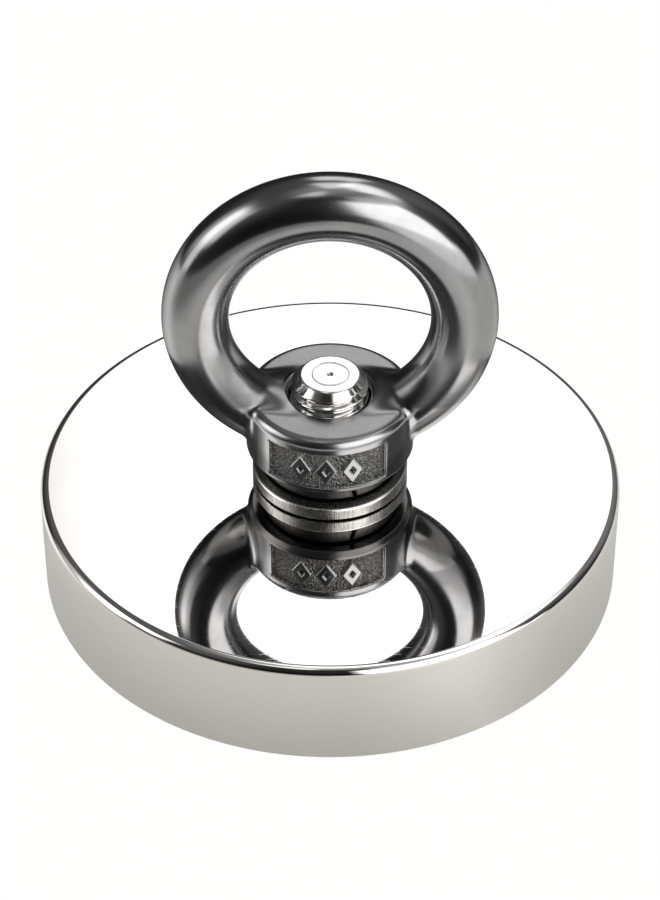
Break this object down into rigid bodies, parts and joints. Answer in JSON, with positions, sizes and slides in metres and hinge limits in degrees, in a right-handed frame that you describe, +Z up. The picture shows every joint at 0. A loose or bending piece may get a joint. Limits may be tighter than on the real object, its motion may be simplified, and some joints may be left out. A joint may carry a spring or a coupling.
{
  "type": "fishing magnet",
  "caption": "Round nickel-plated pot magnet with a ring magnet inside and a lifting eye nut bolted on its back through washers.",
  "frame": {"origin": "centre of the pulling face, on the bolt's axis", "axes": "+Z up the bolt towards the eye; the eye's plane is XZ, so a rope passes through it along Y"},
  "size_m": [0.09, 0.09, 0.0729],
  "materials": {
    "polished_nickel": "mirror polished nickel plate on the back, satin on the side",
    "magnet_nickel": "satin nickel plate on sintered magnet",
    "black_resin": "cast epoxy",
    "brass": "turned",
    "bolt_nickel": "bright nickel plate",
    "bright_steel": "bright rolled steel",
    "spring_steel": "dark spring steel",
    "cast_stainless": "polished cast stainless steel"
  },
  "bodies": {
    "pot": {"pot_shell": "polished_nickel", "ring_magnet": "magnet_nickel", "epoxy_bond": "black_resin", "resin_ring": "black_resin", "centre_bush": "brass"},
    "bolt": {"countersunk_bolt": "bolt_nickel"},
    "flat_washer": {"flat_washer": "bright_steel"},
    "spring_washer": {"spring_washer": "spring_steel"},
    "eye_nut": {"eye_nut": "cast_stainless"}
  },
  "joints": [
    {"name": "bolt_turn", "type": "hinge", "parent": "pot", "child": "bolt", "pos_m": [0, 0, 0.018], "axis": [0, 0, 1], "continuous": true},
    {"name": "flat_washer_turn", "type": "hinge", "parent": "pot", "child": "flat_washer", "pos_m": [0, 0, 0.0183], "axis": [0, 0, 1], "continuous": true},
    {"name": "eye_nut_turn", "type": "hinge", "parent": "bolt", "child": "spring_washer", "pos_m": [0, 0, 0.0211], "axis": [0, 0, 1], "range_deg": [0, 2340]},
    {"name": "eye_nut_lift", "type": "slide", "parent": "spring_washer", "child": "eye_nut", "axis": [0, 0, 1], "range_m": [0, 0.0114]}
  ],
  "couplings": [
    {"joint": "eye_nut_lift", "follows": "eye_nut_turn", "m_per_rad": 0.00027852}
  ]
}
